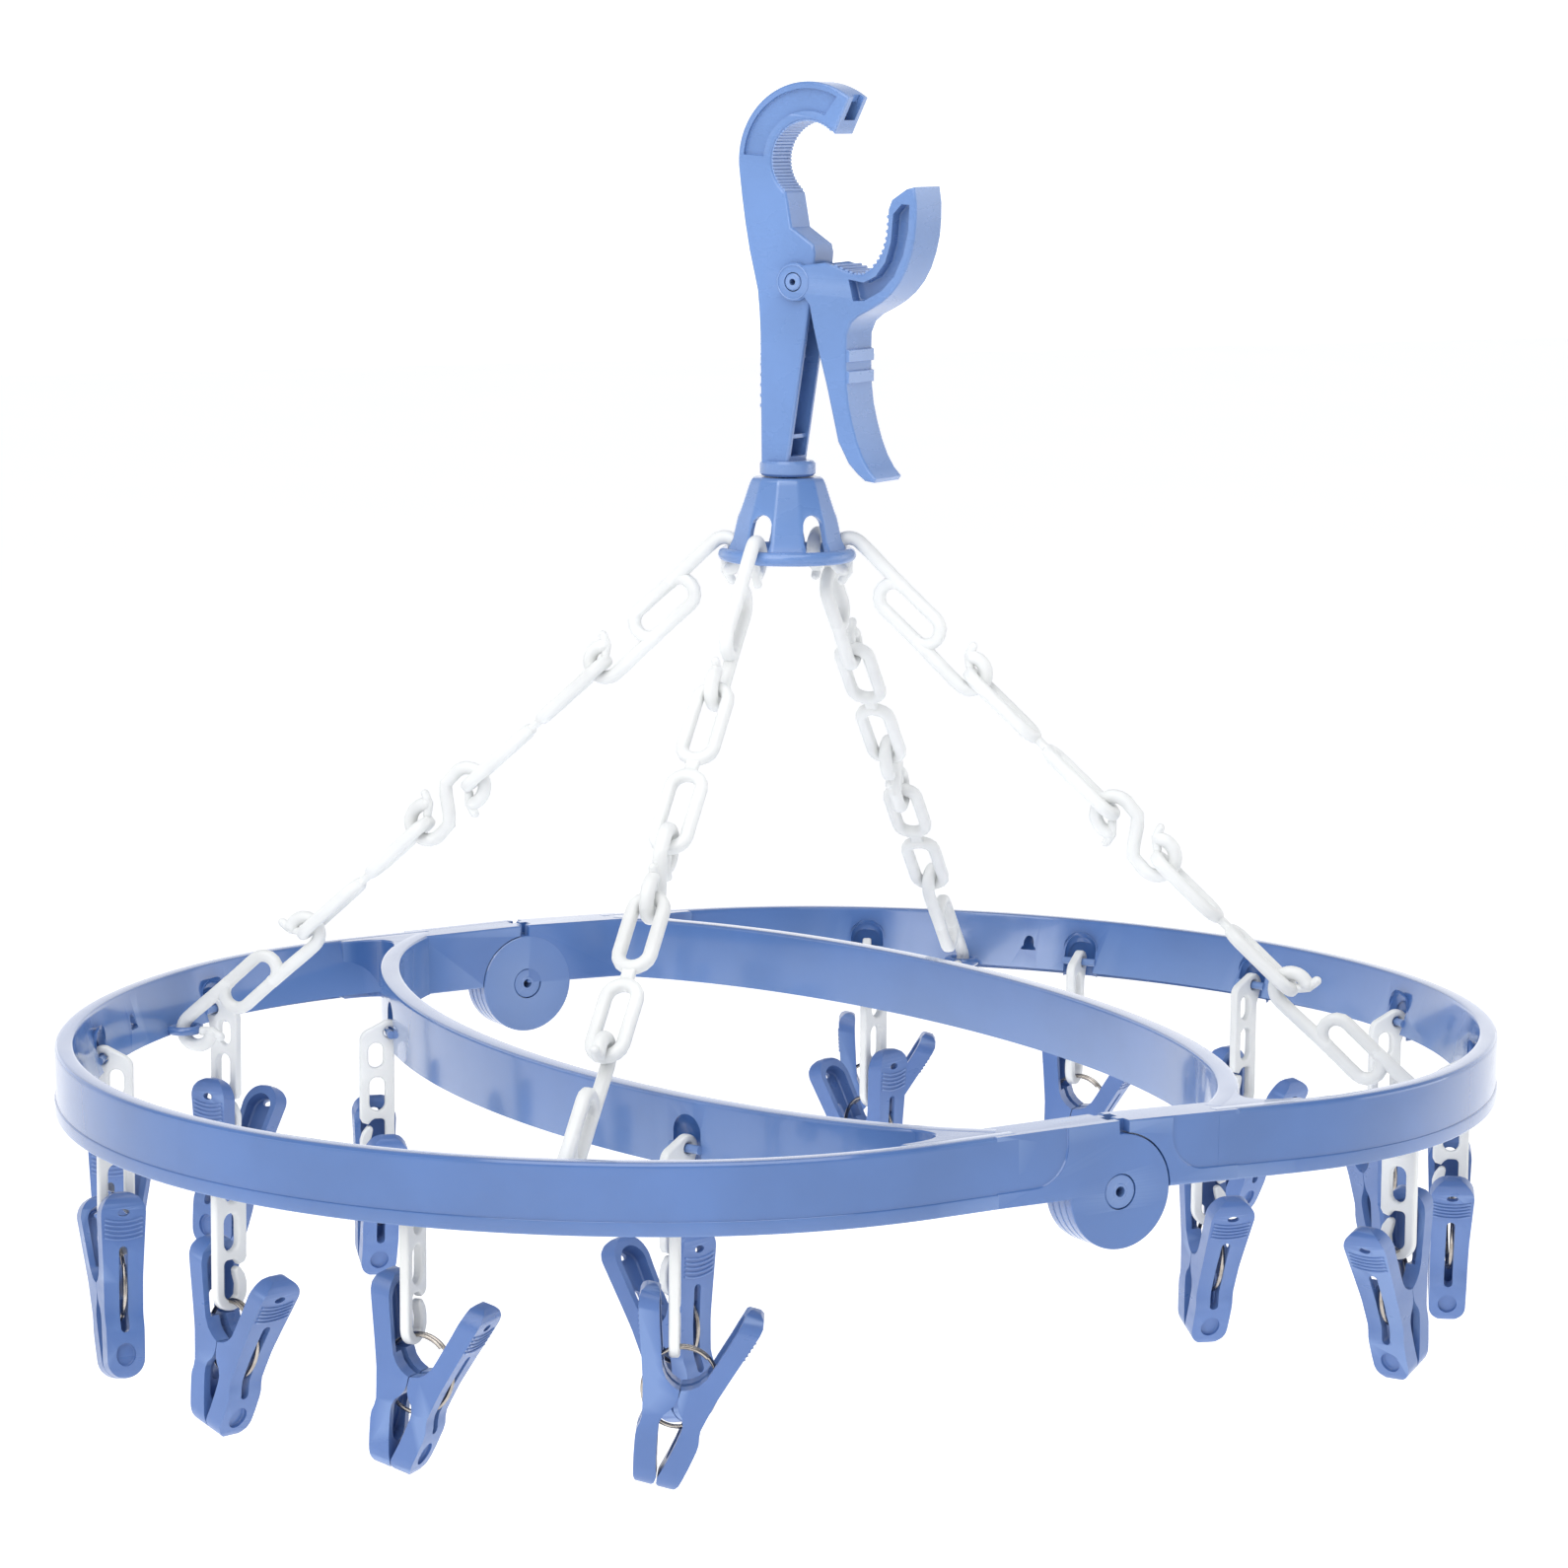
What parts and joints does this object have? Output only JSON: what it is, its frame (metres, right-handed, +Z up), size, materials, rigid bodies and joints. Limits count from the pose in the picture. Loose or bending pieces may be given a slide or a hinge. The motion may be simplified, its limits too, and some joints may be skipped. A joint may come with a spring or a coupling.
{
  "type": "clip drying hanger",
  "caption": "Folding oval clip drying hanger: hinged plastic ring on chains below a bell hub and spring pole clamp, with hanging pegs.",
  "frame": {"origin": "on the swivel axis, level with the middle of the pole that the clamp grips", "axes": "+Z up along the swivel, +X along the ring length, +Y along the folding hinge"},
  "size_m": [0.4506, 0.372, 0.3805],
  "materials": {
    "blue_plastic": "moulded, glossy",
    "peg_blue_plastic": "moulded, satin",
    "white_plastic": "moulded, satin"
  },
  "bodies": {
    "hook_body": {"hook_body": "blue_plastic", "clamp_pin": "blue_plastic"},
    "clamp_lever": {"clamp_lever": "blue_plastic"},
    "hub": {"hub": "blue_plastic"},
    "hinge_pins": {"hinge_pin_front": "blue_plastic", "hinge_pin_back": "blue_plastic"},
    "frame_left": {"frame_left": "blue_plastic"},
    "frame_right": {"frame_right": "blue_plastic"},
    "chain_left_front": {"chain_left_front": "white_plastic"},
    "chain_left_back": {"chain_left_back": "white_plastic"},
    "chain_right_front": {"chain_right_front": "white_plastic"},
    "chain_right_back": {"chain_right_back": "white_plastic"},
    "peg_left_front_1": {"strap_left_front_1": "white_plastic", "upright_jaw_left_front_1": "peg_blue_plastic"},
    "leaning_jaw_left_front_1": {"leaning_jaw_left_front_1": "peg_blue_plastic"},
    "peg_left_front_2": {"strap_left_front_2": "white_plastic", "upright_jaw_left_front_2": "peg_blue_plastic"},
    "leaning_jaw_left_front_2": {"leaning_jaw_left_front_2": "peg_blue_plastic"},
    "peg_left_front_3": {"strap_left_front_3": "white_plastic", "upright_jaw_left_front_3": "peg_blue_plastic"},
    "leaning_jaw_left_front_3": {"leaning_jaw_left_front_3": "peg_blue_plastic"},
    "peg_left_front_4": {"strap_left_front_4": "white_plastic", "upright_jaw_left_front_4": "peg_blue_plastic"},
    "leaning_jaw_left_front_4": {"leaning_jaw_left_front_4": "peg_blue_plastic"},
    "peg_left_back_1": {"strap_left_back_1": "white_plastic", "upright_jaw_left_back_1": "peg_blue_plastic"},
    "leaning_jaw_left_back_1": {"leaning_jaw_left_back_1": "peg_blue_plastic"},
    "peg_left_back_2": {"strap_left_back_2": "white_plastic", "upright_jaw_left_back_2": "peg_blue_plastic"},
    "leaning_jaw_left_back_2": {"leaning_jaw_left_back_2": "peg_blue_plastic"},
    "peg_left_back_3": {"strap_left_back_3": "white_plastic", "upright_jaw_left_back_3": "peg_blue_plastic"},
    "leaning_jaw_left_back_3": {"leaning_jaw_left_back_3": "peg_blue_plastic"},
    "peg_left_back_4": {"strap_left_back_4": "white_plastic", "upright_jaw_left_back_4": "peg_blue_plastic"},
    "leaning_jaw_left_back_4": {"leaning_jaw_left_back_4": "peg_blue_plastic"},
    "peg_right_front_1": {"strap_right_front_1": "white_plastic", "upright_jaw_right_front_1": "peg_blue_plastic"},
    "leaning_jaw_right_front_1": {"leaning_jaw_right_front_1": "peg_blue_plastic"},
    "peg_right_front_2": {"strap_right_front_2": "white_plastic", "upright_jaw_right_front_2": "peg_blue_plastic"},
    "leaning_jaw_right_front_2": {"leaning_jaw_right_front_2": "peg_blue_plastic"},
    "peg_right_front_3": {"strap_right_front_3": "white_plastic", "upright_jaw_right_front_3": "peg_blue_plastic"},
    "leaning_jaw_right_front_3": {"leaning_jaw_right_front_3": "peg_blue_plastic"},
    "peg_right_front_4": {"strap_right_front_4": "white_plastic", "upright_jaw_right_front_4": "peg_blue_plastic"},
    "leaning_jaw_right_front_4": {"leaning_jaw_right_front_4": "peg_blue_plastic"},
    "peg_right_back_1": {"strap_right_back_1": "white_plastic", "upright_jaw_right_back_1": "peg_blue_plastic"},
    "leaning_jaw_right_back_1": {"leaning_jaw_right_back_1": "peg_blue_plastic"},
    "peg_right_back_2": {"strap_right_back_2": "white_plastic", "upright_jaw_right_back_2": "peg_blue_plastic"},
    "leaning_jaw_right_back_2": {"leaning_jaw_right_back_2": "peg_blue_plastic"},
    "peg_right_back_3": {"strap_right_back_3": "white_plastic", "upright_jaw_right_back_3": "peg_blue_plastic"},
    "leaning_jaw_right_back_3": {"leaning_jaw_right_back_3": "peg_blue_plastic"},
    "peg_right_back_4": {"strap_right_back_4": "white_plastic", "upright_jaw_right_back_4": "peg_blue_plastic"},
    "leaning_jaw_right_back_4": {"leaning_jaw_right_back_4": "peg_blue_plastic"}
  },
  "joints": [
    {"name": "clamp_lever_pivot", "type": "hinge", "parent": "hook_body", "child": "clamp_lever", "pos_m": [0.00313, -0.005, -0.0332], "axis": [-0.848, -0.5299, 0], "range_deg": [-8, 35], "stiffness_Nm_per_rad": 0.25, "springref_deg": 34.38},
    {"name": "hub_swivel", "type": "hinge", "parent": "hook_body", "child": "hub", "pos_m": [0, 0, -0.0924], "axis": [0, 0, 1], "continuous": true},
    {"name": "ring_lift", "type": "slide", "parent": "hub", "child": "hinge_pins", "axis": [0, 0, 1], "range_m": [0, 0.024]},
    {"name": "fold_right", "type": "hinge", "parent": "hinge_pins", "child": "frame_right", "pos_m": [0, 0, -0.277], "axis": [0, 1, 0], "range_deg": [0, 10.5]},
    {"name": "fold_left", "type": "hinge", "parent": "hinge_pins", "child": "frame_left", "pos_m": [0, 0, -0.277], "axis": [0, -1, 0], "range_deg": [0, 10.5]},
    {"name": "chain_left_front_hook", "type": "hinge", "parent": "hub", "child": "chain_left_front", "pos_m": [-0.01645, -0.0095, -0.116], "axis": [0, -1, 0], "range_deg": [0, 1.1]},
    {"name": "chain_left_back_hook", "type": "hinge", "parent": "hub", "child": "chain_left_back", "pos_m": [-0.01645, 0.0095, -0.116], "axis": [0, -1, 0], "range_deg": [0, 1.1]},
    {"name": "chain_right_front_hook", "type": "hinge", "parent": "hub", "child": "chain_right_front", "pos_m": [0.01645, -0.0095, -0.116], "axis": [0, 1, 0], "range_deg": [0, 1.1]},
    {"name": "chain_right_back_hook", "type": "hinge", "parent": "hub", "child": "chain_right_back", "pos_m": [0.01645, 0.0095, -0.116], "axis": [0, 1, 0], "range_deg": [0, 1.1]},
    {"name": "peg_left_front_1_swing", "type": "hinge", "parent": "frame_left", "child": "peg_left_front_1", "pos_m": [-0.20952, -0.04609, -0.27466], "axis": [0.2501, -0.9682, 0], "range_deg": [-20, 60]},
    {"name": "peg_left_front_1_grip", "type": "hinge", "parent": "peg_left_front_1", "child": "leaning_jaw_left_front_1", "pos_m": [-0.20546, -0.0466, -0.3256], "axis": [-0.9682, -0.2501, 0], "range_deg": [0, 20], "stiffness_Nm_per_rad": 0.05, "springref_deg": -8.59},
    {"name": "peg_left_front_2_swing", "type": "hinge", "parent": "frame_left", "child": "peg_left_front_2", "pos_m": [-0.18071, -0.1076, -0.27415], "axis": [0.5839, -0.8118, 0], "range_deg": [-20, 60]},
    {"name": "peg_left_front_2_grip", "type": "hinge", "parent": "peg_left_front_2", "child": "leaning_jaw_left_front_2", "pos_m": [-0.17674, -0.10661, -0.32509], "axis": [-0.8118, -0.5839, 0], "range_deg": [0, 20], "stiffness_Nm_per_rad": 0.05, "springref_deg": -8.59},
    {"name": "peg_left_front_3_swing", "type": "hinge", "parent": "frame_left", "child": "peg_left_front_3", "pos_m": [-0.12537, -0.15836, -0.27319], "axis": [0.8596, -0.511, 0], "range_deg": [-20, 20]},
    {"name": "peg_left_front_3_grip", "type": "hinge", "parent": "peg_left_front_3", "child": "leaning_jaw_left_front_3", "pos_m": [-0.12213, -0.15586, -0.32413], "axis": [-0.511, -0.8596, 0], "range_deg": [0, 20], "stiffness_Nm_per_rad": 0.05, "springref_deg": -8.59},
    {"name": "peg_left_front_4_swing", "type": "hinge", "parent": "frame_left", "child": "peg_left_front_4", "pos_m": [-0.08828, -0.09717, -0.27254], "axis": [-0.2847, 0.9586, 0], "range_deg": [-20, 40]},
    {"name": "peg_left_front_4_grip", "type": "hinge", "parent": "peg_left_front_4", "child": "leaning_jaw_left_front_4", "pos_m": [-0.09236, -0.09681, -0.32348], "axis": [0.9586, 0.2847, 0], "range_deg": [0, 20], "stiffness_Nm_per_rad": 0.05, "springref_deg": -8.59},
    {"name": "peg_left_back_1_swing", "type": "hinge", "parent": "frame_left", "child": "peg_left_back_1", "pos_m": [-0.21296, 0.0297, -0.27472], "axis": [-0.1612, -0.9869, 0], "range_deg": [-20, 60]},
    {"name": "peg_left_back_1_grip", "type": "hinge", "parent": "peg_left_back_1", "child": "leaning_jaw_left_back_1", "pos_m": [-0.20897, 0.03058, -0.32565], "axis": [0.9869, -0.1612, 0], "range_deg": [0, 20], "stiffness_Nm_per_rad": 0.05, "springref_deg": -8.59},
    {"name": "peg_left_back_2_swing", "type": "hinge", "parent": "frame_left", "child": "peg_left_back_2", "pos_m": [-0.18071, 0.1076, -0.27415], "axis": [-0.5839, -0.8118, 0], "range_deg": [-20, 60]},
    {"name": "peg_left_back_2_grip", "type": "hinge", "parent": "peg_left_back_2", "child": "leaning_jaw_left_back_2", "pos_m": [-0.17674, 0.10661, -0.32509], "axis": [0.8118, -0.5839, 0], "range_deg": [0, 20], "stiffness_Nm_per_rad": 0.05, "springref_deg": -8.59},
    {"name": "peg_left_back_3_swing", "type": "hinge", "parent": "frame_left", "child": "peg_left_back_3", "pos_m": [-0.11933, 0.16173, -0.27308], "axis": [-0.886, -0.4638, 0], "range_deg": [-20, 20]},
    {"name": "peg_left_back_3_grip", "type": "hinge", "parent": "peg_left_back_3", "child": "leaning_jaw_left_back_3", "pos_m": [-0.11624, 0.15906, -0.32402], "axis": [0.4638, -0.886, 0], "range_deg": [0, 20], "stiffness_Nm_per_rad": 0.05, "springref_deg": -8.59},
    {"name": "peg_left_back_4_swing", "type": "hinge", "parent": "frame_left", "child": "peg_left_back_4", "pos_m": [-0.08828, 0.09717, -0.27254], "axis": [0.2847, 0.9586, 0], "range_deg": [-20, 40]},
    {"name": "peg_left_back_4_grip", "type": "hinge", "parent": "peg_left_back_4", "child": "leaning_jaw_left_back_4", "pos_m": [-0.09236, 0.09681, -0.32348], "axis": [-0.9586, 0.2847, 0], "range_deg": [0, 20], "stiffness_Nm_per_rad": 0.05, "springref_deg": -8.59},
    {"name": "peg_right_front_1_swing", "type": "hinge", "parent": "frame_right", "child": "peg_right_front_1", "pos_m": [0.21296, -0.0297, -0.27472], "axis": [0.1612, 0.9869, 0], "range_deg": [-20, 60]},
    {"name": "peg_right_front_1_grip", "type": "hinge", "parent": "peg_right_front_1", "child": "leaning_jaw_right_front_1", "pos_m": [0.20946, -0.0276, -0.32565], "axis": [0.9869, -0.1612, 0], "range_deg": [0, 20], "stiffness_Nm_per_rad": 0.05, "springref_deg": -8.59},
    {"name": "peg_right_front_2_swing", "type": "hinge", "parent": "frame_right", "child": "peg_right_front_2", "pos_m": [0.18071, -0.1076, -0.27415], "axis": [0.5839, 0.8118, 0], "range_deg": [-20, 60]},
    {"name": "peg_right_front_2_grip", "type": "hinge", "parent": "peg_right_front_2", "child": "leaning_jaw_right_front_2", "pos_m": [0.17674, -0.10661, -0.32509], "axis": [-0.8118, 0.5839, 0], "range_deg": [0, 20], "stiffness_Nm_per_rad": 0.05, "springref_deg": -8.59},
    {"name": "peg_right_front_3_swing", "type": "hinge", "parent": "frame_right", "child": "peg_right_front_3", "pos_m": [0.11933, -0.16173, -0.27308], "axis": [0.886, 0.4638, 0], "range_deg": [-20, 20]},
    {"name": "peg_right_front_3_grip", "type": "hinge", "parent": "peg_right_front_3", "child": "leaning_jaw_right_front_3", "pos_m": [0.11624, -0.15906, -0.32402], "axis": [-0.4638, 0.886, 0], "range_deg": [0, 20], "stiffness_Nm_per_rad": 0.05, "springref_deg": -8.59},
    {"name": "peg_right_front_4_swing", "type": "hinge", "parent": "frame_right", "child": "peg_right_front_4", "pos_m": [0.08828, -0.09717, -0.27254], "axis": [-0.2847, -0.9586, 0], "range_deg": [-20, 40]},
    {"name": "peg_right_front_4_grip", "type": "hinge", "parent": "peg_right_front_4", "child": "leaning_jaw_right_front_4", "pos_m": [0.0915, -0.0997, -0.32348], "axis": [-0.9586, 0.2847, 0], "range_deg": [0, 20], "stiffness_Nm_per_rad": 0.05, "springref_deg": -8.59},
    {"name": "peg_right_back_1_swing", "type": "hinge", "parent": "frame_right", "child": "peg_right_back_1", "pos_m": [0.20952, 0.04609, -0.27466], "axis": [-0.2501, 0.9682, 0], "range_deg": [-20, 60]},
    {"name": "peg_right_back_1_grip", "type": "hinge", "parent": "peg_right_back_1", "child": "leaning_jaw_right_back_1", "pos_m": [0.20622, 0.04368, -0.3256], "axis": [-0.9682, -0.2501, 0], "range_deg": [0, 20], "stiffness_Nm_per_rad": 0.05, "springref_deg": -8.59},
    {"name": "peg_right_back_2_swing", "type": "hinge", "parent": "frame_right", "child": "peg_right_back_2", "pos_m": [0.18071, 0.1076, -0.27415], "axis": [-0.5839, 0.8118, 0], "range_deg": [-20, 60]},
    {"name": "peg_right_back_2_grip", "type": "hinge", "parent": "peg_right_back_2", "child": "leaning_jaw_right_back_2", "pos_m": [0.1785, 0.10416, -0.32509], "axis": [-0.8118, -0.5839, 0], "range_deg": [0, 20], "stiffness_Nm_per_rad": 0.05, "springref_deg": -8.59},
    {"name": "peg_right_back_3_swing", "type": "hinge", "parent": "frame_right", "child": "peg_right_back_3", "pos_m": [0.12537, 0.15836, -0.27319], "axis": [-0.8596, 0.511, 0], "range_deg": [-20, 20]},
    {"name": "peg_right_back_3_grip", "type": "hinge", "parent": "peg_right_back_3", "child": "leaning_jaw_right_back_3", "pos_m": [0.12472, 0.15432, -0.32413], "axis": [-0.511, -0.8596, 0], "range_deg": [0, 20], "stiffness_Nm_per_rad": 0.05, "springref_deg": -8.59},
    {"name": "peg_right_back_4_swing", "type": "hinge", "parent": "frame_right", "child": "peg_right_back_4", "pos_m": [0.08828, 0.09717, -0.27254], "axis": [0.2847, -0.9586, 0], "range_deg": [-20, 40]},
    {"name": "peg_right_back_4_grip", "type": "hinge", "parent": "peg_right_back_4", "child": "leaning_jaw_right_back_4", "pos_m": [0.0915, 0.0997, -0.32348], "axis": [0.9586, 0.2847, 0], "range_deg": [0, 20], "stiffness_Nm_per_rad": 0.05, "springref_deg": -8.59}
  ],
  "couplings": [
    {"joint": "fold_left", "follows": "fold_right", "ratio": 1},
    {"joint": "ring_lift", "follows": "fold_right", "m_per_rad": 0.1305},
    {"joint": "chain_left_front_hook", "follows": "fold_right", "ratio": 0.084},
    {"joint": "chain_left_back_hook", "follows": "fold_right", "ratio": 0.062},
    {"joint": "chain_right_front_hook", "follows": "fold_right", "ratio": 0.062},
    {"joint": "chain_right_back_hook", "follows": "fold_right", "ratio": 0.084}
  ]
}
